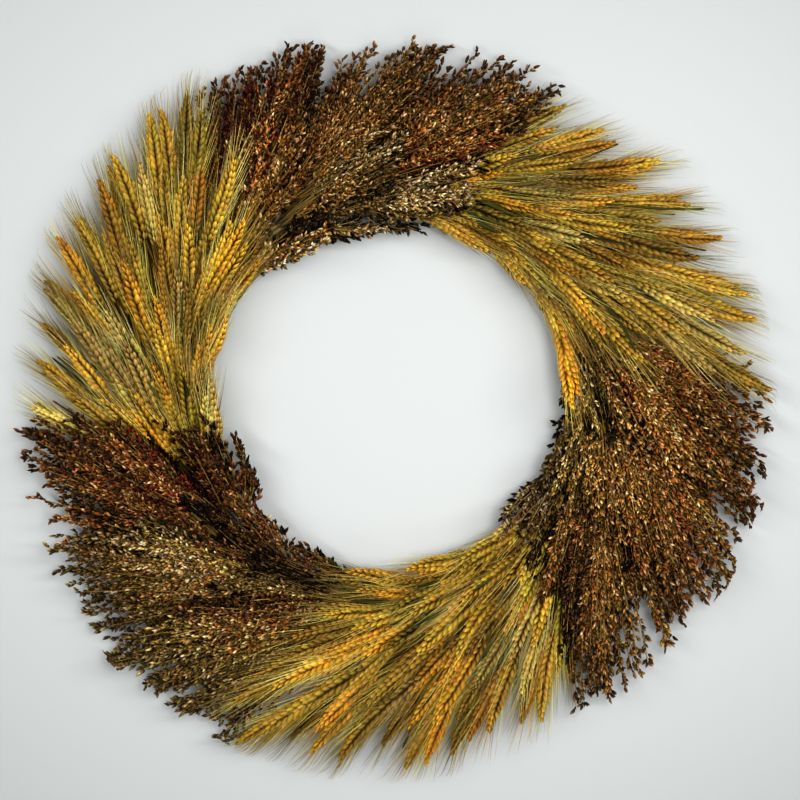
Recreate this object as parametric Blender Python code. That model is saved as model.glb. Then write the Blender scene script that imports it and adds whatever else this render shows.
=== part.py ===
"""Harvest door wreath: wheat and broomcorn bundles wired onto a four-ring steel wreath frame.

Metres. The wreath lies on its back: +Z points out of its front, +Y is the top as it hangs, and the origin
is the centre of the rings on the plane that the back rests on. Clock angles run from +Y towards +X, the way
the seed heads point. Each bundle starts with its cut stems in the frame's trough, is tied there, and climbs
as it fans out, so that its heads lie over the stems of the bundles ahead of it, like shingles.
"""

import math

import bmesh
import bpy
from mathutils import Vector

# Wire frame: four rings whose wires lie on an arc, open to the front, welded onto bent stays.
INNER_RING_R = 0.1524
OUTER_RING_R = 0.2032
RIM_ANGLE = math.radians(65)
RING_WIRE_R = 0.0015
RING_SEGMENTS_PER_TIE = 4
STAY_WIRE_R = 0.0015
STAY_COUNT = 6
STAY_SEGMENTS = 9
STAY_OVERHANG = math.radians(5)
WIRE_SIDES = 8

# Bundles: three in a row of each kind, round the whole ring.
BUNDLE_COUNT = 18
BUNDLES_IN_A_ROW = 3
FIRST_TIE = math.radians(4)
CLEAR_ANGLE = math.radians(12)
FULL_ANGLE = math.radians(28)
TIP_ANGLE = math.radians(45)
ROUNDED_ANGLE = math.radians(14)
BLUNT_TIP = 0.5
INNER_EDGE_R = 0.143
OUTER_EDGE_R = 0.298
STEMS_PROUD = 0.0011
EDGE_THICKNESS_SHARE = 0.25
FLAT_TOP_R = 0.210
OUTER_DROOP = 0.018
STATIONS = 11
LANES = 4

# Paddle wire round each tie, and the twisted wire that the wreath hangs by.
BINDING_WIRE_R = 0.00035
BINDING_TURNS = 2
BINDING_STEP = 0.0014
HANGER_WIRE_R = 0.0009
HANGER_SHANK = 0.014
HANGER_TWISTS = 1.25
HANGER_HOLE_R = 0.013

# Clearances.
LAYER_GAP = 0.0035
WELD_GAP = 0.0003
BINDING_GAP = 0.0006
EYE_CLEARANCE = 0.0006
STRAND_GAP = 0.0003

# What follows from them.
TIE_PITCH = 2 * math.pi / BUNDLE_COUNT
TAIL_ANGLE = TIE_PITCH - CLEAR_ANGLE
MID_R = (INNER_RING_R + OUTER_RING_R) / 2
TROUGH_ARC_R = (OUTER_RING_R - MID_R) / math.sin(RIM_ANGLE)
RING_ANGLES = [-RIM_ANGLE, -RIM_ANGLE / 3, RIM_ANGLE / 3, RIM_ANGLE]
RING_NAMES = ["inner", "inner_middle", "outer_middle", "outer"]
TIE_HALF_ANGLE = BINDING_TURNS * BINDING_STEP / MID_R
STAY_ARC_R = TROUGH_ARC_R + RING_WIRE_R + STAY_WIRE_R + WELD_GAP
TROUGH_Z = STAY_ARC_R + STAY_WIRE_R * math.cos(math.pi / WIRE_SIDES)
FIRST_STAY = FIRST_TIE + TIE_PITCH / 2
FACET_UP = math.pi / WIRE_SIDES


def trough_point(angle, arc_radius):
    """Radius and height of a point of the trough's section, at an angle from straight down."""
    return MID_R + arc_radius * math.sin(angle), TROUGH_Z - arc_radius * math.cos(angle)


MIDDLE_RING_R, MIDDLE_RING_Z = trough_point(RING_ANGLES[2], TROUGH_ARC_R)
RIM_Z = trough_point(RIM_ANGLE, TROUGH_ARC_R)[1]
STEM_HALF_WIDTH = MIDDLE_RING_R - MID_R
STEM_REST_Z = MIDDLE_RING_Z + RING_WIRE_R + WELD_GAP
LAYER_THICKNESS = RIM_Z + STEMS_PROUD - STEM_REST_Z
LAYER_RISE = LAYER_THICKNESS + LAYER_GAP
OVER_RIM_Z = RIM_Z + max(RING_WIRE_R, STEMS_PROUD) + BINDING_GAP
TROUGH_HALF_WIDTH = OUTER_RING_R - MID_R - RING_WIRE_R - 3 * BINDING_GAP
HANGER_EYE_R = RING_WIRE_R + EYE_CLEARANCE + HANGER_WIRE_R
HANGER_LOOP_R = HANGER_HOLE_R + HANGER_WIRE_R
HANGER_REACH = HANGER_EYE_R + HANGER_SHANK + 2 * HANGER_LOOP_R


def smooth(share):
    """A curve from 0 to 1 that starts and ends level."""
    share = min(1.0, max(0.0, share))
    return share * share * (3 - 2 * share)


def blend(start, end, share):
    return start + (end - start) * share


# Scene, materials and objects.


def clear_scene():
    for old in list(bpy.data.objects):
        bpy.data.objects.remove(old)


def collection(name):
    made = bpy.data.collections.new(name)
    bpy.context.scene.collection.children.link(made)
    return made


def material(name, colour, roughness, metallic=0.0):
    made = bpy.data.materials.new(name)
    made.use_nodes = True
    shader = made.node_tree.nodes["Principled BSDF"]
    shader.inputs["Base Color"].default_value = (*colour, 1.0)
    shader.inputs["Roughness"].default_value = roughness
    shader.inputs["Metallic"].default_value = metallic
    made.diffuse_color = (*colour, 1.0)
    return made


def add_object(name, data, surface, parts):
    made = bpy.data.objects.new(name, data)
    if not data.materials:
        data.materials.append(surface)
    parts.objects.link(made)
    return made


def wire_curve(name, points, radius, tilt=0.0, sides=WIRE_SIDES):
    """A round wire through these points, with closed ends."""
    curve = bpy.data.curves.new(name, "CURVE")
    curve.dimensions = "3D"
    curve.twist_mode = "MINIMUM"
    curve.bevel_depth = radius
    curve.bevel_resolution = sides // 2 - 2
    curve.use_fill_caps = True
    spline = curve.splines.new("POLY")
    spline.points.add(len(points) - 1)
    for control, place in zip(spline.points, points):
        control.co = (*place, 1.0)
        control.tilt = tilt
    return curve


# The frame.


def frame_ring(name, angle, surface, parts):
    """One ring of the frame. A corner of its polygon stands over every stay."""
    radius, height = trough_point(angle, TROUGH_ARC_R)
    bpy.ops.mesh.primitive_torus_add(
        major_radius=radius,
        minor_radius=RING_WIRE_R,
        major_segments=RING_SEGMENTS_PER_TIE * BUNDLE_COUNT,
        minor_segments=6,
    )
    made = bpy.context.object
    made.name = made.data.name = name
    made.data.materials.append(surface)
    made.data.shade_smooth()
    for holder in list(made.users_collection):
        holder.objects.unlink(made)
    parts.objects.link(made)
    made.location.z = height
    made.rotation_euler.z = -FIRST_STAY
    return made


def stay_curve():
    """A stay in the plane x = 0, bent round the outside of the trough, with a level middle stretch."""
    half_sweep = RIM_ANGLE + STAY_OVERHANG
    step = 2 * half_sweep / STAY_SEGMENTS
    corner_r = STAY_ARC_R / math.cos(step / 2)
    section = [trough_point(i * step - half_sweep, corner_r) for i in range(STAY_SEGMENTS + 1)]
    points = [(0.0, radius, height) for radius, height in section]
    return wire_curve("frame_stay", points, STAY_WIRE_R, tilt=FACET_UP)


def build_frame(surface, parts):
    """The rings, and the stays under them, each midway between two ties."""
    for name, angle in zip(RING_NAMES, RING_ANGLES):
        frame_ring(f"frame_ring_{name}", angle, surface, parts)
    shape = stay_curve()
    for i in range(STAY_COUNT):
        stay = add_object(f"frame_stay_{i + 1}", shape, surface, parts)
        ties_before = round(i * BUNDLE_COUNT / STAY_COUNT)
        stay.rotation_euler.z = -(FIRST_STAY + ties_before * TIE_PITCH)


# The bundles.


def station_angle(station):
    """Angle past the tie of each cross-section: the cut ends, both sides of the tie, then evenly to the tip."""
    if station < 2:
        return (-TAIL_ANGLE, -TIE_HALF_ANGLE)[station]
    return blend(TIE_HALF_ANGLE, TIP_ANGLE, (station - 2) / (STATIONS - 2))


def climbed(angle):
    """Share of its climb out of the trough that a bundle has made, at an angle past its tie."""
    return smooth((angle - TIE_HALF_ANGLE) / (CLEAR_ANGLE - TIE_HALF_ANGLE))


def underside(angle):
    """Height of a bundle's underside on its middle line, at an angle past its tie."""
    out_of_trough = blend(STEM_REST_Z, OVER_RIM_Z, climbed(angle))
    return out_of_trough + LAYER_RISE / TIE_PITCH * max(0.0, angle - CLEAR_ANGLE)


def edges(angle):
    """Inner and outer radius of a bundle at an angle past its tie."""
    half = blend(STEM_HALF_WIDTH, TROUGH_HALF_WIDTH, climbed(angle))
    fanned = smooth((angle - CLEAR_ANGLE) / (FULL_ANGLE - CLEAR_ANGLE))
    inner = blend(MID_R - half, INNER_EDGE_R, fanned)
    outer = blend(MID_R + half, OUTER_EDGE_R, fanned)
    into_tip = max(0.0, (angle - TIP_ANGLE + ROUNDED_ANGLE) / ROUNDED_ANGLE)
    width = blend(BLUNT_TIP, 1.0, math.sqrt(max(0.0, 1 - into_tip**2)))
    middle = (inner + outer) / 2
    return blend(middle, inner, width), blend(middle, outer, width)


def bundle_section(angle, across, side):
    """Radius and height on a bundle's skin. Across runs from -1 to 1, and side is -1 below and 1 above."""
    inner, outer = edges(angle)
    radius = blend(inner, outer, (across + 1) / 2)
    droop = OUTER_DROOP * max(0.0, (radius - FLAT_TOP_R) / (OUTER_EDGE_R - FLAT_TOP_R)) ** 2
    fullness = blend(1.0, EDGE_THICKNESS_SHARE, across**4)
    height = underside(angle) - droop + LAYER_THICKNESS / 2 * (1 + side * fullness)
    return radius, height


def bundle_mesh(name):
    """One bundle with its tie at clock angle 0: a gridded box bent into a climbing fan."""
    work = bmesh.new()
    bmesh.ops.create_cube(work, size=2.0)
    for axis, pieces in ((0, STATIONS), (1, LANES)):
        along = [e for e in work.edges if abs(e.verts[0].co[axis] - e.verts[1].co[axis]) > 1]
        bmesh.ops.subdivide_edges(work, edges=along, cuts=pieces - 1, use_grid_fill=True)
    for vertex in work.verts:
        angle = station_angle(round((vertex.co.x + 1) / 2 * STATIONS))
        radius, height = bundle_section(angle, vertex.co.y, vertex.co.z)
        vertex.co = (radius * math.sin(angle), radius * math.cos(angle), height)
    bmesh.ops.recalc_face_normals(work, faces=work.faces)
    made = bpy.data.meshes.new(name)
    work.to_mesh(made)
    work.free()
    made.shade_smooth()
    made.set_sharp_from_angle(angle=math.radians(50))
    return made


# The binding wires.


def hull(points):
    """The convex outline round 2D points, anticlockwise."""
    points = sorted(set(points))

    def chain(ordered):
        kept = []
        for p in ordered:
            while len(kept) > 1:
                (ax, ay), (bx, by) = kept[-2:]
                if (bx - ax) * (p[1] - ay) - (by - ay) * (p[0] - ax) > 0:
                    break
                kept.pop()
            kept.append(p)
        return kept[:-1]

    return chain(points) + chain(points[::-1])


def circle(centre, radius, count):
    steps = [2 * math.pi * i / count for i in range(count)]
    return [(centre[0] + radius * math.cos(a), centre[1] + radius * math.sin(a)) for a in steps]


def binding_outline():
    """The path of a wire pulled tight round the four rings and the stems, in the section at a tie."""
    off = BINDING_GAP + BINDING_WIRE_R
    around = []
    for angle in RING_ANGLES:
        around += circle(trough_point(angle, TROUGH_ARC_R), RING_WIRE_R + off, 8)
    for lane in range(LANES + 1):
        around += circle(bundle_section(0.0, 2 * lane / LANES - 1, 1), off, 8)
    return hull([(round(x, 7), round(y, 7)) for x, y in around])


def binding_curve():
    """Turns of paddle wire round the frame and the stems, at clock angle 0."""
    outline = binding_outline()
    total = BINDING_TURNS * len(outline)
    width = BINDING_TURNS * BINDING_STEP
    points = []
    for i in range(total + 1):
        radius, height = outline[i % len(outline)]
        points.append(((i / total - 0.5) * width, radius, height))
    return wire_curve("binding", points, BINDING_WIRE_R, sides=4)


def build_bundles(surfaces, wire, parts):
    """All bundles and their ties, in clock order: three of wheat, then three of broomcorn, and so on."""
    meshes = {kind: bundle_mesh(f"{kind}_bundle") for kind in surfaces}
    binding = binding_curve()
    made = dict.fromkeys(surfaces, 0)
    for i in range(BUNDLE_COUNT):
        kind = list(surfaces)[i // BUNDLES_IN_A_ROW % len(surfaces)]
        made[kind] += 1
        turn = -(FIRST_TIE + i * TIE_PITCH)
        name = f"{kind}_bundle_{made[kind]}"
        add_object(name, meshes[kind], surfaces[kind], parts).rotation_euler.z = turn
        add_object(f"binding_wire_{i + 1}", binding, wire, parts).rotation_euler.z = turn


# The hanger.


def hanger_points():
    """The hanger's wire, with its eye round the x axis and its loop towards +Y: once round the loop, down
    one strand of the shank, round the eye, and up the other strand."""
    strand_r = HANGER_WIRE_R + STRAND_GAP / 2
    eye_side = math.asin(strand_r / HANGER_EYE_R)
    shank_start = HANGER_EYE_R * math.cos(eye_side)
    shank_end = shank_start + HANGER_SHANK
    loop_side = math.asin(strand_r / HANGER_LOOP_R)
    loop_centre = shank_end + HANGER_LOOP_R * math.cos(loop_side)

    def strand(share, first):
        turn = math.pi / 2 + first + 2 * math.pi * HANGER_TWISTS * share
        along = blend(shank_start, shank_end, share)
        return strand_r * math.cos(turn), along, strand_r * math.sin(turn)

    down = [strand(1 - i / 12, 0.0) for i in range(13)]
    up = [strand(i / 12, math.pi) for i in range(13)]
    eye = []
    for i in range(1, 12):
        turn = blend(eye_side, 2 * math.pi - eye_side, i / 12)
        eye.append((0.0, HANGER_EYE_R * math.cos(turn), HANGER_EYE_R * math.sin(turn)))
    towards = 1 if down[0][0] > 0 else -1
    loop = []
    for i in range(24):
        turn = blend(2 * math.pi - 2 * loop_side, loop_side, i / 24)
        across = towards * HANGER_LOOP_R * math.sin(turn)
        loop.append((across, loop_centre - HANGER_LOOP_R * math.cos(turn), 0.0))
    return loop + down + eye + up


def build_hanger(surface, parts):
    """The hanger swings on the outer middle ring at the top, and its loop lies on the resting plane."""
    curve = wire_curve("hanger_loop", hanger_points(), HANGER_WIRE_R, sides=6)
    hanger = add_object("hanger_loop", curve, surface, parts)
    hanger.location = Vector((0.0, MIDDLE_RING_R, MIDDLE_RING_Z))
    drop = MIDDLE_RING_Z - HANGER_WIRE_R - WELD_GAP
    hanger.rotation_euler.x = -math.asin(drop / HANGER_REACH)


def main():
    clear_scene()
    parts = collection("Harvest wreath")
    green_wire = material("frame_green_wire", (0.035, 0.085, 0.045), 0.45, 0.4)
    paddle_wire = material("paddle_wire", (0.05, 0.11, 0.06), 0.5, 0.4)
    bright_wire = material("hanger_wire", (0.55, 0.55, 0.53), 0.35, 1.0)
    bundles = {
        "wheat": material("wheat", (0.62, 0.40, 0.09), 0.7),
        "broomcorn": material("broomcorn", (0.17, 0.075, 0.03), 0.75),
    }
    build_frame(green_wire, parts)
    build_bundles(bundles, paddle_wire, parts)
    build_hanger(bright_wire, parts)


main()
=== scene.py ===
"""Looks of the harvest door wreath: the ears, beards, seeds and stems of its bundles, on its wire frame.

Metres, in the CAD's frame: the wreath lies on its back, +Z is its front and +Y its top. A bundle is made in
its own frame, with its tie at clock angle 0 (on +Y) and its heads pointing clockwise (+X), and then turned
to its place. All fine pieces are strands: closed spindles of rings round a path, with a point at each end.
"""

import math

import bpy
import numpy as np
from mathutils import Matrix, Vector


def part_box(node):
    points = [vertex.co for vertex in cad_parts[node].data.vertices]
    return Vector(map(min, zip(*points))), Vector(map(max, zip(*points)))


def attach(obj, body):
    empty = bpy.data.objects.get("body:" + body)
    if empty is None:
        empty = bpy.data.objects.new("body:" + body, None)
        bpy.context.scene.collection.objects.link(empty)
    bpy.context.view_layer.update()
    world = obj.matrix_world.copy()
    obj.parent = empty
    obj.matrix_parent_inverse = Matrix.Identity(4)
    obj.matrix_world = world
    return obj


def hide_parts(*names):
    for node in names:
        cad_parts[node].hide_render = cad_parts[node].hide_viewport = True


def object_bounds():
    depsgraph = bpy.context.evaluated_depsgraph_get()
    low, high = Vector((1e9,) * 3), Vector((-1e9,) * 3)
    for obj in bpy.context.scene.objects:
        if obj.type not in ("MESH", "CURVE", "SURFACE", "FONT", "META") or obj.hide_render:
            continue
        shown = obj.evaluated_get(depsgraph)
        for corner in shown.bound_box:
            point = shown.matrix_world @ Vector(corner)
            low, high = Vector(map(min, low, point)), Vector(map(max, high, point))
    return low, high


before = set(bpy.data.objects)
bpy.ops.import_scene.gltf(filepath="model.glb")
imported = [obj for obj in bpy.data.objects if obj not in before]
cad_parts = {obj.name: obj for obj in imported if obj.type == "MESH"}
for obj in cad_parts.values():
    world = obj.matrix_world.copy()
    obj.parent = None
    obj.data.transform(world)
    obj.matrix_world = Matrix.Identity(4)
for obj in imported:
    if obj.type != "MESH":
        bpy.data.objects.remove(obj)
CAD_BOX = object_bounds()

MM = 0.001
UP = np.array([0.0, 0.0, 1.0])
random = np.random.default_rng(20)

# The wreath, as the frame has it.
INNER_RING_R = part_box("frame_ring_inner")[1].x
OUTER_RING_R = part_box("frame_ring_outer")[1].x
MID_R = (INNER_RING_R + OUTER_RING_R) / 2
STEM_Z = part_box("wheat_bundle_1")[0].z
TOP_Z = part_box("wheat_bundle_1")[1].z
RIM_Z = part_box("frame_ring_outer")[1].z
OUTER_R = CAD_BOX[1][0]
TIE_COUNT = 18
FIRST_TIE = math.radians(4)
PITCH = 2 * math.pi / TIE_COUNT
BUNDLES_IN_A_ROW = 3

# The layers, like shingles: past its tie a bundle climbs out of the trough up to CLEAR_ANGLE, then over the
# next ones, and lies level from LEVEL_ANGLE on. Its outer part droops.
CLEAR_ANGLE = math.radians(12)
LEVEL_ANGLE = math.radians(46)
LAYER_THICKNESS = 13.5 * MM
LAYER_RISE = 17 * MM
FLAT_TOP_R = 210 * MM
OUTER_DROOP = 18 * MM
FLOOR_GAP = 1.5 * MM
CEILING = TOP_Z + 9 * MM
CLIMB_CLEARANCE = 0.6 * MM
LEVEL_SHARPNESS = 15

# How far past their tie the heads reach: inner ones end sooner than outer ones.
INNER_REACH_R = 150 * MM
OUTER_REACH_R = 300 * MM
INNER_REACH = math.radians(35)
OUTER_REACH = math.radians(43)

# How far the heads lean outward from the ring's direction, in degrees: inner ones the least.
INNER_LEAN_R = 141 * MM
INNER_LEAN = 12
LEAN_PER_METRE = 345
STEEPEST_LEAN = 62

# Where a bundle's inner edge is moved, and where its outer part is stretched or held back.
INNER_EDGE_R = 140 * MM
INNER_BAND = 50 * MM
STRETCH_FROM_R = 180 * MM
OUTER_LIMIT_R = 318 * MM
OUTER_SQUEEZE = 0.8

# The wreath isn't quite round: each bundle's inner edge is moved out by this many millimetres, and its outer
# part is stretched by this share.
BUNDLE_SHAPES = [
    (0, -0.12),
    (0, 0.04),
    (1, 0.12),
    (7, 0.12),
    (4, 0.09),
    (-3, 0.0),
    (-5, -0.03),
    (-7, 0.07),
    (1, 0.11),
    (6, 0.11),
    (6, 0.03),
    (-7, 0.0),
    (0, 0.01),
    (5, 0.08),
    (7, 0.08),
    (0, -0.05),
    (1, -0.09),
    (3, -0.07),
]


def smooth(share):
    """A soft step from 0 to 1."""
    share = np.clip(share, 0.0, 1.0)
    return share * share * (3 - 2 * share)


def unit(vectors):
    return vectors / np.maximum(np.linalg.norm(vectors, axis=-1, keepdims=True), 1e-12)


def spread(count, low, high):
    """Values from low to high, one in each equal step, in random order."""
    steps = (np.arange(count) + 0.5 + (random.random(count) - 0.5)) / count
    return low + (high - low) * random.permutation(steps)


# Strands.

# The part of its cell in the OFBake map that a strand takes up.
CELL_MARGIN = 0.08
CELL_SHARE = 0.84


class Strands:
    """Strands of one piece, kept in batches that have the same number of rings and sides."""

    def __init__(self):
        self.batches = []
        self.count = 0

    def add(self, path, up, width, depth, start_colour, end_colour, sides, flank=0.0, fade=1.0):
        """path is (n, k, 3): its first and last points are the strand's tips, and a ring stands at each
        other. width and depth are the rings' half-sizes across and along up, which is (n, 3) or (3,). The
        colour runs from start to end, and keeps to the start for longer where fade is over 1. The share given
        for painted shade is how much darker the side away from up is painted."""
        count, points = path.shape[:2]
        if not count:
            return
        rings = points - 2
        up = np.broadcast_to(up, (count, 3))
        width = np.broadcast_to(width, (count, rings))[..., None, None]
        depth = np.broadcast_to(depth, (count, rings))[..., None, None]
        along = unit(path[:, 2:] - path[:, :-2])
        side = unit(np.cross(along, up[:, None, :]))
        normal = np.cross(side, along)
        turn = (2 * math.pi * np.arange(sides) / sides)[:, None]
        ring = path[:, 1:-1, None, :]
        ring = ring + side[:, :, None, :] * width * np.cos(turn)
        ring = ring + normal[:, :, None, :] * depth * np.sin(turn)
        verts = np.concatenate([path[:, :1], ring.reshape(count, rings * sides, 3), path[:, -1:]], axis=1)
        share = np.concatenate([[0.0], np.repeat((np.arange(rings) + 0.5) / rings, sides), [1.0]])
        share = share[:, None] ** fade
        start_colour = np.broadcast_to(start_colour, (count, 3))[:, None, :]
        end_colour = np.broadcast_to(end_colour, (count, 3))[:, None, :]
        # Painted shade: the side away from up is darkened by the share given, as if light came only from
        # above.
        facing = np.concatenate([[1], np.tile(np.sin(turn[:, 0]), rings), [1]])[:, None]
        painted_side_shade = 1 - flank * (1 - facing) / 2
        colour = (start_colour * (1 - share) + end_colour * share) * painted_side_shade
        self.batches.append((verts, colour, strand_faces(rings, sides), self.count))
        self.count += count

    def turned(self, angle):
        """Turns all the strands clockwise about Z."""
        cos, sin = math.cos(angle), math.sin(angle)
        turn = np.array([[cos, -sin, 0], [sin, cos, 0], [0, 0, 1]])
        self.batches = [(verts @ turn, *rest) for verts, *rest in self.batches]
        return self

    def stretched(self, inner_shift, outer_stretch):
        """Moves the inner edge out by a distance, stretches what is outside STRETCH_FROM_R, and holds back
        what would go past OUTER_LIMIT_R."""
        for verts, *_ in self.batches:
            radius = np.hypot(verts[..., 0], verts[..., 1])
            inside = 1 - smooth((radius - INNER_EDGE_R) / INNER_BAND)
            moved = radius + inner_shift * inside
            moved = moved + outer_stretch * np.maximum(0, radius - STRETCH_FROM_R)
            moved = moved - OUTER_SQUEEZE * np.maximum(0, moved - OUTER_LIMIT_R)
            verts[..., :2] *= (moved / radius)[..., None]
        return self

    def mesh(self, name):
        """One mesh of all the strands, each with its own cell in the OFBake map."""
        cells = math.ceil(math.sqrt(self.count))
        verts, colours, corners, sizes, uvs = [], [], [], [], []
        offset = 0
        for batch, colour, faces_of_one, first in self.batches:
            count, each = batch.shape[:2]
            verts.append(batch.reshape(-1, 3))
            colours.append(colour.reshape(-1, 3))
            base = offset + each * np.arange(count)[:, None, None]
            index = first + np.arange(count)
            cell = np.stack([index % cells, index // cells], axis=1)[:, None, None, :]
            for faces, uv in faces_of_one:
                corners.append((faces[None] + base).reshape(-1))
                sizes.append(np.full(count * len(faces), faces.shape[1]))
                uvs.append(((cell + CELL_MARGIN + CELL_SHARE * uv[None]) / cells).reshape(-1, 2))
            offset += count * each
        return build_mesh(name, *(np.concatenate(a) for a in (verts, colours, corners, sizes, uvs)))


def strand_faces(rings, sides):
    """Faces of one strand, facing out, with where their corners lie in its cell: the four-sided ones, if it
    has more than one ring, and then the three-sided ones at its tips."""
    quads, quad_uv, tris, tri_uv = [], [], [], []
    last = 1 + rings * sides
    for j in range(sides):
        k = (j + 1) % sides
        left, right = j / sides, (j + 1) / sides
        tris.append((0, 1 + j, 1 + k))
        tri_uv.append(((left, 0.0), (left, 0.5 / rings), (right, 0.5 / rings)))
        top = last - sides
        tris.append((last, top + k, top + j))
        tri_uv.append(((left, 1.0), (right, 1 - 0.5 / rings), (left, 1 - 0.5 / rings)))
        for i in range(rings - 1):
            a, b = 1 + i * sides, 1 + (i + 1) * sides
            low, high = (i + 0.5) / rings, (i + 1.5) / rings
            quads.append((a + j, b + j, b + k, a + k))
            quad_uv.append(((left, low), (left, high), (right, high), (right, low)))
    faces = [(np.array(quads), np.array(quad_uv))] if quads else []
    return [*faces, (np.array(tris), np.array(tri_uv))]


def build_mesh(name, verts, colours, corners, sizes, uvs):
    """A mesh from its vertices and their colours, the corners of all its faces, each face's number of
    corners, and the corners' places in the OFBake map."""
    verts[:, 2] = np.clip(verts[:, 2], FLOOR_GAP, None)
    mesh = bpy.data.meshes.new(name)
    mesh.vertices.add(len(verts))
    mesh.vertices.foreach_set("co", verts.astype(np.float32).ravel())
    mesh.loops.add(len(corners))
    mesh.loops.foreach_set("vertex_index", corners.astype(np.int32))
    mesh.polygons.add(len(sizes))
    starts = np.concatenate([[0], np.cumsum(sizes)[:-1]])
    mesh.polygons.foreach_set("loop_start", starts.astype(np.int32))
    mesh.update(calc_edges=True)
    tint = mesh.color_attributes.new("tint", "FLOAT_COLOR", "POINT")
    full = np.concatenate([np.clip(colours, 0, 1), np.ones((len(colours), 1))], axis=1)
    tint.data.foreach_set("color", full.astype(np.float32).ravel())
    layer = mesh.uv_layers.new(name="OFBake")
    layer.data.foreach_set("uv", uvs.astype(np.float32).ravel())
    mesh.shade_smooth()
    return mesh


# Paths.

PATH_POINTS = 48


def layer_height(x, y, level):
    """Height at a plan position in a bundle's own frame. Level runs from 0, the layer's underside, to 1."""
    angle = np.arctan2(x, y)
    radius = np.hypot(x, y)
    climb = STEM_Z + (RIM_Z + CLIMB_CLEARANCE - STEM_Z) * smooth(angle / CLEAR_ANGLE)
    short = np.logaddexp(0, (LEVEL_ANGLE - angle) * LEVEL_SHARPNESS) / LEVEL_SHARPNESS
    past = np.maximum(0.0, LEVEL_ANGLE - short - CLEAR_ANGLE)
    droop = OUTER_DROOP * np.maximum(0.0, (radius - FLAT_TOP_R) / (OUTER_R - FLAT_TOP_R)) ** 2
    return climb + LAYER_RISE / PITCH * past - droop + LAYER_THICKNESS * level


def reach(radius):
    """How far past its tie a bundle's heads reach, at a radius."""
    share = np.clip((radius - INNER_REACH_R) / (OUTER_REACH_R - INNER_REACH_R), -0.1, 1.1)
    return INNER_REACH + (OUTER_REACH - INNER_REACH) * share


def outward(radius):
    """Angle between the heads and the ring's own direction, at a radius."""
    degrees = INNER_LEAN + LEAN_PER_METRE * (radius - INNER_LEAN_R)
    return np.radians(np.clip(degrees, 0, STEEPEST_LEAN))


def stalk(start, start_turn, tip, tip_turn, level, tail=0.0):
    """A path in a bundle's own frame from start to tip, which are plan points. The turns are its directions
    there, from +X towards +Y. Level is its place in the layer, at the start and at the tip. Tail is how far
    it runs on behind its start."""
    start, tip = np.array(start), np.array(tip)
    start_way = np.array([math.cos(start_turn), math.sin(start_turn)])
    handle = np.linalg.norm(tip - start) / 3
    first = start + handle * start_way
    second = tip - handle * np.array([math.cos(tip_turn), math.sin(tip_turn)])
    t = np.linspace(0, 1, PATH_POINTS)[:, None]
    plan = (1 - t) ** 3 * start + 3 * (1 - t) ** 2 * t * first + 3 * (1 - t) * t**2 * second + t**3 * tip
    if tail:
        plan = np.concatenate([[start - tail * start_way], plan])
    share = np.linspace(0, 1, len(plan))
    height = layer_height(plan[:, 0], plan[:, 1], level[0] + (level[1] - level[0]) * share)
    return np.column_stack([plan, height])


def at_lengths(path, lengths):
    """Points of a path at these lengths along it. A length past the end runs straight on."""
    steps = np.linalg.norm(np.diff(path, axis=0), axis=1)
    along = np.concatenate([[0], np.cumsum(steps)])
    points = np.column_stack([np.interp(lengths, along, path[:, i]) for i in range(3)])
    past = np.maximum(0, np.asarray(lengths) - along[-1])[:, None]
    return points + past * unit(path[-1] - path[-3])


def path_length(path):
    return np.linalg.norm(np.diff(path, axis=0), axis=1).sum()


# Colours, as linear values.


def vary(colour, count, lightness=0.16, hue=0.06):
    """This colour for each of count strands, with each one lighter or darker and a little off in hue."""
    shade = np.exp(random.normal(0, lightness, (count, 1)))
    return np.array(colour) * shade * np.exp(random.normal(0, hue, (count, 3)))


# Colours of an ear at its foot and at its tip, and of its beards.
EAR_COLOURS = {
    "gold": ((0.46, 0.280, 0.016), (0.81, 0.47, 0.023), (0.80, 0.60, 0.19)),
    "amber": ((0.55, 0.295, 0.013), (0.87, 0.42, 0.015), (0.78, 0.53, 0.14)),
    "straw": ((0.57, 0.400, 0.042), (0.85, 0.58, 0.072), (0.86, 0.69, 0.28)),
    "olive": ((0.33, 0.220, 0.014), (0.61, 0.385, 0.021), (0.68, 0.53, 0.17)),
}
# Stem colours, darkened far below dry straw's own colour as painted shade in the gaps under the ears.
STEM_PAINTED_SHADE_COLOURS = [(0.06, 0.039, 0.003), (0.11, 0.068, 0.006), (0.035, 0.026, 0.002), (0.17, 0.107, 0.012)]
CUT_STEM_COLOUR = (0.045, 0.055, 0.012)
LEAF_COLOURS = [(0.07, 0.068, 0.012), (0.14, 0.11, 0.022), (0.035, 0.038, 0.008)]

# Ears of wheat.

EAR_LENGTH = 77 * MM
EAR_ROWS = [7, 6, 6]
FIRST_EAR_R = 158 * MM
LAST_EAR_R = 300 * MM
EAR_LIMIT_R = 303 * MM
ROW_STEP = math.radians(7)
# Painted shade by depth: an ear's colours are scaled by the first value at its layer's underside, rising by
# the second towards its top.
DEEP_EAR_PAINTED_LIGHT = 0.24
EAR_PAINTED_LIGHT_RISE = 0.82
INNER_EARS = 4
INNER_EAR_RADII = (145 * MM, 152 * MM)
INNER_EAR_DEPTH = math.radians(20)
RIM_EARS = 3
RIM_EAR_RADII_MM = (284, 301)
SPIKELETS = 27
SPIKELET_SPAN = 0.9
EAR_ROLL = 0.7
GRAIN_BOW = 0.8 * MM
GRAIN_LENGTH = 9.4 * MM
GRAIN_WIDTH = 2.4 * MM
GRAIN_DEPTH = 2.0 * MM
GRAIN_RINGS = np.array([0.08, 0.34, 0.62, 0.86])
GRAIN_FULLNESS = np.array([0.55, 0.95, 1.0, 0.5])
BEARD_LENGTH = 46 * MM
BEARD_R = 0.2 * MM
BEARD_REACH_R = 322 * MM
HOLE_R = 137 * MM

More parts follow.
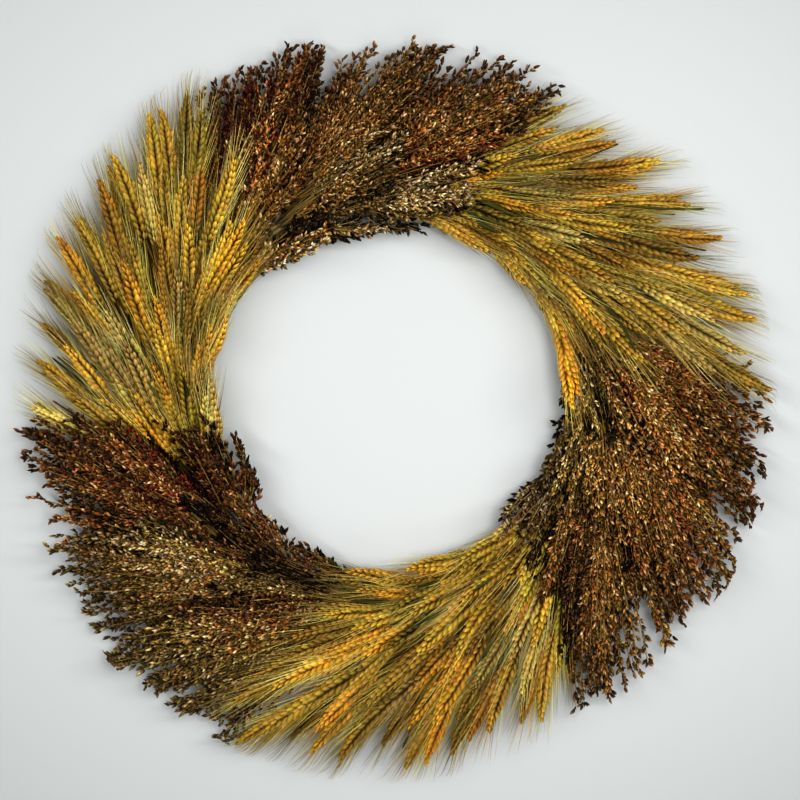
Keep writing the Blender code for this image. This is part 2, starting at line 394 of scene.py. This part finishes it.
# Where a stalk crosses its tie: off the rings' middle by a share of how far its head is from this radius.
ROOT_DIVISOR = 4
WHEAT_ROOT_R = 215 * MM
WHEAT_ROOT_LIMITS = (-15 * MM, 15 * MM)
WHEAT_TAIL = 24 * MM
BROOM_ROOT_R = 230 * MM
BROOM_ROOT_LIMITS = (-24 * MM, 15 * MM)

# Stems and leaves of a bundle of wheat.
STEM_R = 1.1 * MM
STEM_RINGS = 14
LOOSE_STEMS = 44
LOOSE_STEM_RADII = (148 * MM, 285 * MM)
LEAVES = 9
LEAF_RADII = (152 * MM, 275 * MM)
LEAF_WIDTHS_MM = (1.8, 3.4)
LEAF_DEPTH = 0.25 * MM

# A grain's colour against its ear's: painted shade at its tucked-in foot, a painted highlight at its tip, and
# how dark its back is painted as shade.
GRAIN_FOOT_PAINTED_SHADE = (0.12, 0.09, 0.05)
GRAIN_TIP_PAINTED_HIGHLIGHT = (1.6, 1.7, 4.2)
GRAIN_BACK_PAINTED_SHADE = 0.82

# The share of grains with a beard: on an ear's face, on its sides, and how much more on ears at the rim.
FACE_BEARDS = 0.25
SIDE_BEARDS = 0.42
RIM_BEARDS = 0.3
RIM_BEARDS_R = 230 * MM

# The grains of a spikelet: the place of each across the ear and towards its face in millimetres, how many
# degrees it turns outward, and how far it tilts towards the face.
SPIKELET_GRAINS = [
    (0.9, 1.5, 22, 0.26),
    (0.9, -1.5, 22, -0.26),
    (1.7, 0.2, 30, 0.03),
]


def ear_axes(path, roll):
    """Direction, width and face vectors along an ear."""
    along = unit(np.gradient(path, axis=0))
    side = unit(np.cross(along, UP))
    face = np.cross(side, along)
    cos, sin = math.cos(roll), math.sin(roll)
    return along, side * cos + face * sin, face * cos - side * sin


def add_ear(grains, beards, path, length, kind, light):
    """One ear on the last stretch of a stalk: two rows of spikelets, with beards on some of the grains."""
    total = path_length(path)
    size = length / EAR_LENGTH
    count = SPIKELETS
    place = (np.arange(count) + 0.4) / count * SPIKELET_SPAN
    axis = at_lengths(path, total - length * (1 - place))
    along, side, face = ear_axes(axis, random.uniform(-EAR_ROLL, EAR_ROLL))
    taper = 1 - 0.55 * smooth((place - 0.45) / 0.5)
    full = (0.6 + 0.4 * smooth(place / 0.3)) * taper * size
    close = 1 - 0.75 * smooth((place - 0.6) / 0.35)
    hand = np.where(np.arange(count) % 2, 1.0, -1.0)[:, None]
    # The ear's colours are scaled by painted light for how deep it lies in its layer.
    foot, tip, beard = (vary(colour, 1, 0.13, 0.04) * light for colour in EAR_COLOURS[kind])
    for across, towards, turn, tilt in SPIKELET_GRAINS:
        grow = full[:, None] * random.uniform(0.9, 1.12, (count, 1))
        turns = np.radians(turn * close + random.normal(0, 3, count))[:, None]
        heading = unit(along * np.cos(turns) + hand * side * np.sin(turns) + face * tilt)
        base = axis + (hand * side * across + face * towards) * MM * full[:, None]
        steps = np.concatenate([[0], GRAIN_RINGS, [1]])[None, :, None]
        bow = -hand[:, None] * side[:, None] * GRAIN_BOW * steps**2
        spine = base[:, None] + heading[:, None] * GRAIN_LENGTH * grow[:, None] ** 0.7 * steps + bow
        out = unit(hand * side * (0.6 if tilt > 0.1 else 1) + face * np.sign(towards))
        shade = vary((1, 1, 1), count, 0.15, 0.05)
        tint = (foot * (1 - place[:, None]) + tip * place[:, None]) * shade
        width = GRAIN_WIDTH * GRAIN_FULLNESS * grow
        depth = GRAIN_DEPTH * GRAIN_FULLNESS * grow
        # Each grain gets painted shade at its foot and on its back, and a painted highlight at its tip.
        grains.add(spine, out, width, depth, tint * GRAIN_FOOT_PAINTED_SHADE, tint * GRAIN_TIP_PAINTED_HIGHLIGHT, 6, flank=GRAIN_BACK_PAINTED_SHADE)
        at_rim = np.hypot(*path[-1, :2]) > RIM_BEARDS_R
        share = FACE_BEARDS if towards > 1 else SIDE_BEARDS + RIM_BEARDS * at_rim
        add_beards(beards, spine[:, -2], heading, along, place, size, beard, share)


def add_beards(beards, base, heading, along, place, size, colour, share):
    """Long stiff hairs from the tips of grains, leaning in towards the ear's direction."""
    keep = random.random(len(base)) < share + 0.3 * smooth((place - 0.6) / 0.4)
    base, heading, along, place = base[keep], heading[keep], along[keep], place[keep]
    count = len(base)
    length = BEARD_LENGTH * size * (1.1 - 0.35 * place) * random.uniform(0.6, 1.15, count)
    first = unit(heading * 0.5 + along * 0.7)
    last = unit(first + random.normal(0, 0.09, (count, 3)) + along * 0.5)
    steps = np.array([0, 0.02, 0.25, 0.5, 0.75, 1.0])[None, :, None]
    spine = base[:, None] + length[:, None, None] * (first[:, None] * steps * (1 - steps / 2))
    spine = spine + length[:, None, None] * last[:, None] * steps**2 / 2
    spine[..., 2] = np.minimum(spine[..., 2], CEILING)
    radii = np.linalg.norm(spine[..., :2], axis=-1)
    spine = spine[(radii.max(axis=1) < BEARD_REACH_R) & (radii.min(axis=1) > HOLE_R)]
    colour = colour * vary((1.0, 0.98, 0.88), len(spine), 0.6, 0.08)
    radius = BEARD_R * np.array([1.2, 0.95, 0.7, 0.45])
    beards.add(spine, UP, radius, radius, colour, colour * 1.1, 3)


def wheat_bundle(kinds, extra_ears, cut_stems):
    """Ears, beards and stems of one tied bundle in its own frame. Kinds are the ears' colours with shares;
    an extra ear or a cut stem is given by the radius and the angle of its tip."""
    ears, beards, stems = Strands(), Strands(), Strands()
    tips = []
    for row, count in enumerate(EAR_ROWS):
        for radius in np.linspace(FIRST_EAR_R, LAST_EAR_R, count):
            radius = radius + random.normal(0, 4) * MM
            angle = reach(radius) - ROW_STEP * row + random.normal(0, 0.03)
            tips.append((min(radius, EAR_LIMIT_R), angle, random.uniform(0.1, 0.5) + 0.25 * row))
    for step in range(RIM_EARS):
        radius = random.uniform(*RIM_EAR_RADII_MM) * MM
        angle = reach(radius) - ROW_STEP * (0.5 + step) + random.normal(0, 0.02)
        tips.append((radius, angle, random.uniform(0, 0.6)))
    for radius, back in zip(spread(INNER_EARS, *INNER_EAR_RADII), spread(INNER_EARS, 0, 1)):
        tips.append((radius, reach(radius) - INNER_EAR_DEPTH * back, random.uniform(0.3, 0.8)))
    for radius, degrees in extra_ears:
        tips.append((radius * MM, math.radians(degrees), 0.95))
    names = random.choice(list(kinds), size=len(tips), p=list(kinds.values()))
    for (radius, angle, level), name in zip(tips, names):
        path = wheat_stalk(radius, angle, level)
        length = EAR_LENGTH * random.uniform(0.9, 1.15)
        add_ear(ears, beards, path, length, name, DEEP_EAR_PAINTED_LIGHT + EAR_PAINTED_LIGHT_RISE * level)
        add_stem(stems, path, path_length(path) - length + 4 * MM)
    for radius, back in zip(spread(LOOSE_STEMS, *LOOSE_STEM_RADII), spread(LOOSE_STEMS, 0, 1)):
        path = wheat_stalk(radius, reach(radius) - math.radians(8 + 20 * back), random.uniform(0.02, 0.4))
        add_stem(stems, path, path_length(path))
    for radius, degrees in cut_stems:
        path = wheat_stalk(radius * MM, math.radians(degrees), 1.0)
        add_stem(stems, path, path_length(path), CUT_STEM_COLOUR)
    add_leaves(stems, LEAVES)
    return ears, beards, stems


def wheat_stalk(radius, angle, level):
    """The path of a stalk from behind its tie to a tip at this radius and angle."""
    tip = (radius * math.sin(angle), radius * math.cos(angle))
    lean = outward(radius) - angle + random.normal(0, 0.08)
    off_middle = np.clip((radius - WHEAT_ROOT_R) / ROOT_DIVISOR, *WHEAT_ROOT_LIMITS)
    start = (0.0, MID_R + off_middle + random.uniform(-5, 5) * MM)
    return stalk(start, 0.3 * lean, tip, lean, (random.uniform(0.15, 0.85), level), tail=WHEAT_TAIL)


def add_stem(stems, path, length, colour=None):
    """A round stem along the first stretch of a stalk, this long."""
    spine = at_lengths(path, length * np.concatenate([[0], np.linspace(0.01, 0.985, STEM_RINGS), [1]]))
    radius = STEM_R * random.uniform(0.75, 1.15) * np.linspace(1.15, 0.75, STEM_RINGS)
    colour = vary(colour or STEM_PAINTED_SHADE_COLOURS[random.integers(len(STEM_PAINTED_SHADE_COLOURS))], 1, 0.3)
    stems.add(spine[None], UP, radius, radius, colour, colour * (1.25, 1.1, 0.9), 6, flank=0.4)


def add_leaves(stems, count):
    """Dry leaf blades: flat strands that follow the stems."""
    for radius in spread(count, *LEAF_RADII):
        angle = reach(radius) - math.radians(random.uniform(2, 20))
        tip = (radius * math.sin(angle), radius * math.cos(angle))
        lean = outward(radius) - angle + random.normal(0, 0.15)
        path = stalk((10 * MM, MID_R + random.uniform(-8, 8) * MM), 0.3 * lean, tip, lean, (0.3, 0.75))
        shares = np.concatenate([[0.2], np.linspace(0.21, 0.99, STEM_RINGS), [1]])
        spine = at_lengths(path, path_length(path) * shares)
        width = random.uniform(*LEAF_WIDTHS_MM) * MM * np.sin(np.linspace(0.5, 2.9, STEM_RINGS))
        colour = vary(LEAF_COLOURS[random.integers(len(LEAF_COLOURS))], 1)
        tilt = unit(UP + random.normal(0, 0.45, 3))
        stems.add(spine[None], tilt, width, LEAF_DEPTH, colour, colour * 1.3, 6)


# Broomcorn.

# Hull and highlight colours of the sprays, and the share of the lighter seeds.
SPRAY_COLOURS = {
    "bronze": ((0.24, 0.122, 0.020), (0.50, 0.315, 0.10), 0.25),
    "rust": ((0.21, 0.083, 0.014), (0.45, 0.26, 0.08), 0.22),
    "burgundy": ((0.11, 0.021, 0.006), (0.25, 0.10, 0.024), 0.12),
    "dark": ((0.12, 0.049, 0.011), (0.35, 0.20, 0.06), 0.18),
    "tan": ((0.34, 0.225, 0.06), (0.52, 0.385, 0.16), 0.4),
    "olive": ((0.215, 0.138, 0.025), (0.47, 0.33, 0.11), 0.28),
}
TWIG_COLOUR = (0.36, 0.235, 0.07)
STALK_COLOUR = (0.40, 0.28, 0.11)
STALK_R = 2.0 * MM

# A spray's branches stand in fingers, of which an outer spray has more.
FINGERS = 5
OUTER_FINGERS = 5
BRANCHES_IN_A_FINGER = 3
FINGER_SCATTER_MM = 13
BRANCH_SCATTER_MM = 5
DEEPEST_FINGER = -0.25
DEEPEST_BRANCH = -0.4
BRANCH_RINGS = 12
FIRST_SPRAY_R = 142 * MM
LAST_SPRAY_R = 292 * MM
CROWDING = 1.4
FIRST_TIP_R = 138 * MM
LAST_TIP_R = 306 * MM
SPRAY_DEPTH = math.radians(20)

# Painted shade by depth: how light a branch's seeds are painted follows its level, but a branch that ends at
# the rim is never painted dark.
DEEP_SEED_PAINTED_LIGHT = 0.05
RIM_SPRAY_R = 262 * MM
RIM_SPRAY_LEVEL = 0.6

# Side twigs, where along each one its seeds sit, and the seeds.
TWIG_LENGTHS_MM = (3, 9.5)
TWIG_STEP = 3.7 * MM
TWIG_R = 0.24 * MM
TWIG_BEND = 0.12
SEED_PLACES = (0.5, 0.8, 1.0)
SEED_LENGTH = 5.6 * MM
SEED_R = 1.32 * MM

# A seed's colour against its spray's: painted shade at its foot and a painted highlight at its tip, and how
# fast seeds are painted lighter as their twigs rise, as painted shade low in a finger.
SEED_FOOT_PAINTED_SHADE = 0.1
SEED_TIP_PAINTED_HIGHLIGHT = (2.1, 2.1, 3.1)
SEED_PAINTED_LIGHT_RISE = 0.16 / MM


def add_spray(seeds, twigs, stalks, centre, kind):
    """One spray: a stalk that ends near the tie in fingers of fine branches, seeded on their far part."""
    hull, bright, share = SPRAY_COLOURS[kind]
    off_middle = np.clip((centre - BROOM_ROOT_R) / ROOT_DIVISOR, *BROOM_ROOT_LIMITS)
    root_y = MID_R + off_middle + random.uniform(-2, 2) * MM
    root = (random.uniform(4, 16) * MM, root_y)
    outer = np.clip((centre - INNER_REACH_R) / (OUTER_REACH_R - INNER_REACH_R), 0, 1)
    for finger in spread(round(FINGERS + OUTER_FINGERS * outer), 0, 1):
        finger_radius = centre + random.normal(0, FINGER_SCATTER_MM) * MM
        finger_level = random.uniform(DEEPEST_FINGER, 1.0)
        finger_light = math.exp(random.normal(0, 0.25))
        for back in finger + random.normal(0, 0.16, BRANCHES_IN_A_FINGER):
            radius = finger_radius + random.normal(0, BRANCH_SCATTER_MM) * MM
            radius = np.clip(radius, FIRST_TIP_R, LAST_TIP_R)
            angle = reach(radius) - SPRAY_DEPTH * np.clip(back, 0, 1) ** 1.3 + random.normal(0, 0.02)
            tip = (radius * math.sin(angle), radius * math.cos(angle))
            lean = outward(radius) - angle + random.normal(0, 0.09)
            level = np.clip(finger_level + random.normal(0, 0.12), DEEPEST_BRANCH, 1)
            root_turn = 0.35 * lean + random.normal(0, 0.06)
            path = stalk(root, root_turn, tip, lean, (random.uniform(0.1, 0.9), level))
            # The seeds' colours are scaled by painted light for how deep the branch lies.
            least = RIM_SPRAY_LEVEL if radius > RIM_SPRAY_R else 0.0
            light = DEEP_SEED_PAINTED_LIGHT + finger_light * max(level, least) ** 1.4
            add_branch(seeds, twigs, path, (np.array(hull) * light, np.array(bright) * light, share))
    start = np.array([[-22 * MM, root_y, STEM_Z + random.uniform(2, 11) * MM]])
    end = np.array([[root[0] + 4 * MM, root_y, start[0, 2]]])
    steps = np.array([0, 0.02, 0.35, 0.7, 0.97, 1.0])[:, None]
    colour = vary(STALK_COLOUR, 1)
    radius = STALK_R * np.array([1, 1, 0.95, 0.85])
    stalks.add((start + (end - start) * steps)[None], UP, radius, radius, colour, colour, 8)


def add_branch(seeds, twigs, path, look):
    """One fine branch, its side twigs, and their seeds. Look is the seeds' hull and highlight colours, and
    the share of the lighter ones."""
    total = path_length(path)
    spine = at_lengths(path, total * np.concatenate([[0], np.linspace(0.01, 0.99, BRANCH_RINGS), [1]]))
    colour = vary(TWIG_COLOUR, 1, 0.3)
    radius = np.linspace(0.7, 0.3, BRANCH_RINGS) * MM
    twigs.add(spine[None], UP, radius, radius, colour * 0.8, colour, 4, flank=0.5)
    first = total * random.uniform(0.3, 0.5)
    count = int((total - first) / TWIG_STEP)
    places = first + (total - first) * np.linspace(0, 1, count) ** random.uniform(0.85, 1.0)
    places = places + random.normal(0, 1.2, count) * MM
    base = at_lengths(path, places)
    along = unit(at_lengths(path, places + 2 * MM) - at_lengths(path, places - 2 * MM))
    around = random.uniform(0, 2 * math.pi, count)[:, None]
    side = unit(np.cross(along, UP))
    sideways = side * np.cos(around) + np.cross(side, along) * np.sin(around)
    heading = unit(along + sideways * random.uniform(0.35, 0.85, (count, 1)))
    shorter = 1 - 0.2 * smooth((places - 0.7 * total) / (0.3 * total))
    length = random.uniform(*TWIG_LENGTHS_MM, count) * MM * shorter
    steps = np.array([0, 0.05, 0.6, 1.0])[:, None]
    bend = sideways[:, None] * TWIG_BEND * steps**2
    curve = base[:, None] + length[:, None, None] * (heading[:, None] * steps - bend)
    foot_colour = vary(TWIG_COLOUR, count, 0.3)
    twigs.add(curve, UP, TWIG_R, TWIG_R, foot_colour, vary(TWIG_COLOUR, count, 0.3), 3)
    shade = np.exp(random.normal(0, 0.3, count))
    for at in SEED_PLACES:
        place = base + length[:, None] * (heading * at - sideways * TWIG_BEND * at * at)
        # Seeds lower on their twig are painted darker, as painted shade on a finger's underside.
        rise = place[:, 2] - base[:, 2]
        add_seeds(seeds, place, heading, look, shade * np.exp(SEED_PAINTED_LIGHT_RISE * rise))
    add_seeds(seeds, path[-1:], along[-1:], look, np.ones(1))


def add_seeds(seeds, base, heading, look, shade):
    """Small pointed seeds, one at each base. Shade is how light each one is: a random tone times painted
    shade for how low it sits.
    """
    hull, bright, share = look
    count = len(base)
    heading = unit(heading + random.normal(0, 0.3, (count, 3)))
    size = random.uniform(0.75, 1.15, (count, 1))
    steps = np.array([0, 0.28, 0.62, 1.0])[None, :, None]
    spine = base[:, None] + heading[:, None] * SEED_LENGTH * size[:, None] * (steps - 0.1)
    spine[..., 2] = np.minimum(spine[..., 2], CEILING)
    full = SEED_R * size * np.array([1.0, 0.8])
    light = (random.random(count) < share)[:, None]
    colour = np.where(light, vary(bright, count, 0.2, 0.06), vary(hull, count, 0.3, 0.08))
    colour = colour * np.clip(shade, 0.15, 1.5)[:, None]
    up = unit(UP + random.normal(0, 0.5, (count, 3)))
    seeds.add(spine, up, full, full * 0.7, colour * SEED_FOOT_PAINTED_SHADE, colour * SEED_TIP_PAINTED_HIGHLIGHT, 4, flank=0.65, fade=1.3)


def spray_centres(count):
    """Where the sprays of a bundle end, closer together towards the rim."""
    return np.linspace(FIRST_SPRAY_R**CROWDING, LAST_SPRAY_R**CROWDING, count) ** (1 / CROWDING)


def broomcorn_bundle(kinds):
    """Seeds, twigs and stalks of one tied bundle in its own frame. Kinds are its sprays', from inside out."""
    seeds, twigs, stalks = Strands(), Strands(), Strands()
    for kind, centre in zip(kinds, spray_centres(len(kinds))):
        add_spray(seeds, twigs, stalks, centre, kind)
    return seeds, twigs, stalks


# Materials.


def grained_material(name, scale, detail, noise_roughness, rough_range, bump, bump_depth):
    """A new material whose roughness and bumps follow a fine noise, with its shader and its noise node."""
    made = bpy.data.materials.new(name)
    made.use_nodes = True
    nodes, links = made.node_tree.nodes, made.node_tree.links
    shader = nodes["Principled BSDF"]
    where = nodes.new("ShaderNodeTexCoord")
    noise = nodes.new("ShaderNodeTexNoise")
    noise.inputs["Scale"].default_value = scale
    noise.inputs["Detail"].default_value = detail
    noise.inputs["Roughness"].default_value = noise_roughness
    links.new(where.outputs["Object"], noise.inputs["Vector"])
    rough = nodes.new("ShaderNodeMapRange")
    rough.inputs["To Min"].default_value, rough.inputs["To Max"].default_value = rough_range
    links.new(noise.outputs["Fac"], rough.inputs["Value"])
    links.new(rough.outputs["Result"], shader.inputs["Roughness"])
    bumps = nodes.new("ShaderNodeBump")
    bumps.inputs["Strength"].default_value = bump
    bumps.inputs["Distance"].default_value = bump_depth
    links.new(noise.outputs["Fac"], bumps.inputs["Height"])
    links.new(bumps.outputs["Normal"], shader.inputs["Normal"])
    return made, shader, noise


def strand_material(name, roughness, grain_scale, contrast, bump, specular):
    """Dry plant matter: each strand's colour with its painted shade and highlights, mottled and finely
    grained.
    """
    made, shader, noise = grained_material(
        name,
        scale=grain_scale,
        detail=4,
        noise_roughness=0.65,
        rough_range=(roughness - 0.12, roughness + 0.12),
        bump=bump,
        bump_depth=0.3 * MM,
    )
    nodes, links = made.node_tree.nodes, made.node_tree.links
    shader.inputs["Specular IOR Level"].default_value = specular
    tint = nodes.new("ShaderNodeAttribute")
    tint.attribute_name = "tint"
    shade = nodes.new("ShaderNodeMapRange")
    shade.inputs["From Min"].default_value = 0.3
    shade.inputs["From Max"].default_value = 0.7
    shade.inputs["To Min"].default_value = 1 - contrast
    shade.inputs["To Max"].default_value = 1 + contrast
    links.new(noise.outputs["Fac"], shade.inputs["Value"])
    mix = nodes.new("ShaderNodeMix")
    mix.data_type = "RGBA"
    mix.blend_type = "MULTIPLY"
    mix.inputs["Factor"].default_value = 1.0
    links.new(tint.outputs["Color"], mix.inputs["A"])
    links.new(shade.outputs["Result"], mix.inputs["B"])
    links.new(mix.outputs["Result"], shader.inputs["Base Color"])
    return made


def wire_material(name, colour, worn, metallic, roughness):
    """Enamelled or plated wire with small worn and dull spots."""
    made, shader, noise = grained_material(
        name,
        scale=420,
        detail=5,
        noise_roughness=0.5,
        rough_range=(roughness - 0.1, roughness + 0.15),
        bump=0.25,
        bump_depth=0.1 * MM,
    )
    shader.inputs["Metallic"].default_value = metallic
    ramp = made.node_tree.nodes.new("ShaderNodeValToRGB")
    ramp.color_ramp.elements[0].position = 0.42
    ramp.color_ramp.elements[0].color = (*colour, 1)
    ramp.color_ramp.elements[1].position = 0.74
    ramp.color_ramp.elements[1].color = (*worn, 1)
    made.node_tree.links.new(noise.outputs["Fac"], ramp.inputs["Fac"])
    made.node_tree.links.new(ramp.outputs["Color"], shader.inputs["Base Color"])
    return made


def repaint(node, material):
    """Gives a CAD node's own mesh this material."""
    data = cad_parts[node].data
    data.materials.clear()
    data.materials.append(material)


# Pieces.


def place(strands, name, tie, material, slot, replaced=None):
    """Turns a bundle's strands to its tie, and makes them one piece that rides on the wreath. Replaced is
    the CAD node that it stands for, which is then hidden."""
    inner_shift, outer_stretch = BUNDLE_SHAPES[tie]
    strands.stretched(inner_shift * MM, outer_stretch).turned(FIRST_TIE + tie * PITCH)
    piece = bpy.data.objects.new(name, strands.mesh(name))
    piece.data.materials.append(material)
    bpy.context.scene.collection.objects.link(piece)
    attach(piece, "root")
    if replaced:
        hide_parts(replaced)


# Roughness, scale of the grain, contrast, bump and specular level of the strands' materials.
STRAND_LOOKS = {
    "wheat_grain": (0.42, 900, 0.18, 0.3, 0.4),
    "wheat_beard": (0.5, 700, 0.2, 0.1, 0.25),
    "wheat_stem": (0.6, 500, 0.25, 0.3, 0.2),
    "broomcorn_seed": (0.5, 1400, 0.22, 0.3, 0.25),
    "broomcorn_twig": (0.65, 900, 0.25, 0.2, 0.2),
}

# The shares of the ears' colours, in turn for each bundle of wheat.
WHEAT_KINDS = [
    {"gold": 0.5, "amber": 0.25, "straw": 0.1, "olive": 0.15},
    {"gold": 0.45, "amber": 0.15, "straw": 0.15, "olive": 0.25},
    {"gold": 0.45, "amber": 0.25, "straw": 0.1, "olive": 0.2},
]

# Stray ears and cut stems by the number of their bundle: the radius in millimetres and the angle in degrees
# of each one's tip.
EXTRA_EARS = {
    3: [(147, 51), (154, 47)],
    6: [(252, 39), (240, 36)],
    9: [(232, 44), (196, 35), (170, 35), (189, 38)],
}
CUT_STEMS = {2: [(298, 35)]}

# The sprays of each bundle of broomcorn, from inside out.
SPRAY_ROWS = [
    ["olive", "olive", "bronze", "rust", "rust", "bronze", "bronze", "rust"],
    ["olive", "olive", "bronze", "bronze", "rust", "bronze", "rust", "bronze"],
    ["tan", "bronze", "bronze", "rust", "bronze", "rust", "bronze", "bronze"],
    ["rust", "olive", "olive", "dark", "rust", "olive", "olive", "olive"],
    ["dark", "dark", "rust", "olive", "tan", "olive", "bronze", "olive"],
    ["dark", "dark", "burgundy", "dark", "dark", "rust", "dark", "rust"],
    ["tan", "bronze", "bronze", "rust", "bronze", "rust", "burgundy", "rust"],
    ["tan", "olive", "bronze", "tan", "bronze", "bronze", "rust", "bronze"],
    ["olive", "tan", "tan", "burgundy", "rust", "bronze", "rust", "bronze"],
]


def build_bundles():
    """All the bundles: three of wheat and three of broomcorn by turns, clockwise from the top."""
    grain, beard, stem, seed, twig = (strand_material(name, *look) for name, look in STRAND_LOOKS.items())
    made = {"wheat": 0, "broomcorn": 0}
    for i in range(TIE_COUNT):
        kind = ("wheat", "broomcorn")[i // BUNDLES_IN_A_ROW % 2]
        number = made[kind] = made[kind] + 1
        node = f"{kind}_bundle_{number}"
        if kind == "wheat":
            kinds = WHEAT_KINDS[number % len(WHEAT_KINDS)]
            extra_ears, cut_stems = EXTRA_EARS.get(number, []), CUT_STEMS.get(number, [])
            ears, beards, stems = wheat_bundle(kinds, extra_ears, cut_stems)
            place(ears, f"wheat_ears_{number}", i, grain, "wheat", node)
            place(beards, f"wheat_beards_{number}", i, beard, "wheat")
            place(stems, f"wheat_stems_{number}", i, stem, "wheat")
        else:
            seeds, twigs, stalks = broomcorn_bundle(SPRAY_ROWS[number - 1])
            place(seeds, f"broomcorn_seeds_{number}", i, seed, "broomcorn", node)
            place(twigs, f"broomcorn_twigs_{number}", i, twig, "broomcorn")
            place(stalks, f"broomcorn_stalks_{number}", i, twig, "broomcorn")


GREEN = (0.03, 0.075, 0.04)
WORN_GREEN = (0.10, 0.13, 0.09)
PLATED = (0.52, 0.52, 0.50)
DULL_PLATED = (0.32, 0.31, 0.29)


def finish_wires():
    """Green enamel on the frame and the bindings, and plated wire for the hanging loop."""
    green = wire_material("green_enamel", GREEN, WORN_GREEN, metallic=0.2, roughness=0.42)
    plated = wire_material("plated_wire", PLATED, DULL_PLATED, metallic=1.0, roughness=0.36)
    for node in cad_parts:
        if node.startswith(("frame_", "binding_")):
            repaint(node, green)
        elif node == "hanger_loop":
            repaint(node, plated)


# Stage, lights and camera.

CAMERA_HEIGHT = 1.25
CAMERA_PLACE = (0.0075, -0.0015)
SENSOR_WIDTH = 36
VIEW_WIDTH = 0.662
FLOOR_SIZE = 60
FLOOR_COLOUR = (0.665, 0.686, 0.68, 1)
WORLD_COLOUR = (0.97, 0.99, 1.0, 1)
WORLD_STRENGTH = 0.11
TUBE_SIZE = (0.1, 1.3)
TUBE_TURN = math.radians(-30)
TUBE_WATTS = 5.4


def build_stage():
    """The plain pale floor."""
    bpy.ops.mesh.primitive_plane_add(size=FLOOR_SIZE)
    floor = bpy.context.object
    floor.name = "floor"
    made = bpy.data.materials.new("floor")
    made.use_nodes = True
    shader = made.node_tree.nodes["Principled BSDF"]
    shader.inputs["Base Color"].default_value = FLOOR_COLOUR
    shader.inputs["Roughness"].default_value = 0.7
    floor.data.materials.append(made)


def add_light(name, place, size, watts, turn=0.0):
    """An area light that faces the wreath's middle. Size is its width and length."""
    data = bpy.data.lights.new(name, "AREA")
    data.shape = "RECTANGLE"
    data.size, data.size_y = size
    data.energy = watts
    light = bpy.data.objects.new(name, data)
    facing = (Vector(place) * -1).to_track_quat("-Z", "Y").to_matrix().to_4x4()
    light.matrix_world = Matrix.Translation(place) @ facing @ Matrix.Rotation(turn, 4, "Z")
    bpy.context.scene.collection.objects.link(light)


def add_spot(name, place, target, watts):
    """A wide spot whose light fades out towards its edge."""
    data = bpy.data.lights.new(name, "SPOT")
    data.energy = watts
    data.shadow_soft_size = 0.16
    data.spot_size = math.radians(75)
    data.spot_blend = 1.0
    light = bpy.data.objects.new(name, data)
    light.location = place
    light.rotation_euler = (Vector(target) - Vector(place)).to_track_quat("-Z", "Y").to_euler()
    bpy.context.scene.collection.objects.link(light)


def build_lights():
    """Two long tubes and a small overhead light, as the photo's shadows suggest, and a little fill."""
    world = bpy.data.worlds.new("studio")
    world.use_nodes = True
    back = world.node_tree.nodes["Background"]
    back.inputs["Color"].default_value = WORLD_COLOUR
    back.inputs["Strength"].default_value = WORLD_STRENGTH
    bpy.context.scene.world = world
    add_light("left_tube", (-0.55, 0.05, 1.2), TUBE_SIZE, TUBE_WATTS, TUBE_TURN)
    add_light("right_tube", (0.55, 0.25, 1.2), TUBE_SIZE, TUBE_WATTS, TUBE_TURN)
    add_light("front", (0.1, -1.2, 1.9), size=(0.5, 0.5), watts=2.0)
    add_spot("overhead", (0.2, 0.0, 1.2), target=(0.05, 0.06, 0.0), watts=17)


def build_camera():
    """A camera straight above the wreath, with the photo's tone curve."""
    data = bpy.data.cameras.new("camera")
    data.sensor_width = SENSOR_WIDTH
    data.lens = SENSOR_WIDTH * CAMERA_HEIGHT / VIEW_WIDTH
    camera = bpy.data.objects.new("camera", data)
    camera.matrix_world = Matrix.Translation((*CAMERA_PLACE, CAMERA_HEIGHT + TOP_Z / 2))
    bpy.context.scene.collection.objects.link(camera)
    bpy.context.scene.camera = camera
    bpy.context.scene.view_settings.view_transform = "Standard"
    bpy.context.scene.view_settings.look = "High Contrast"


build_camera()
build_lights()
build_stage()
finish_wires()
build_bundles()

bpy.context.view_layer.update()
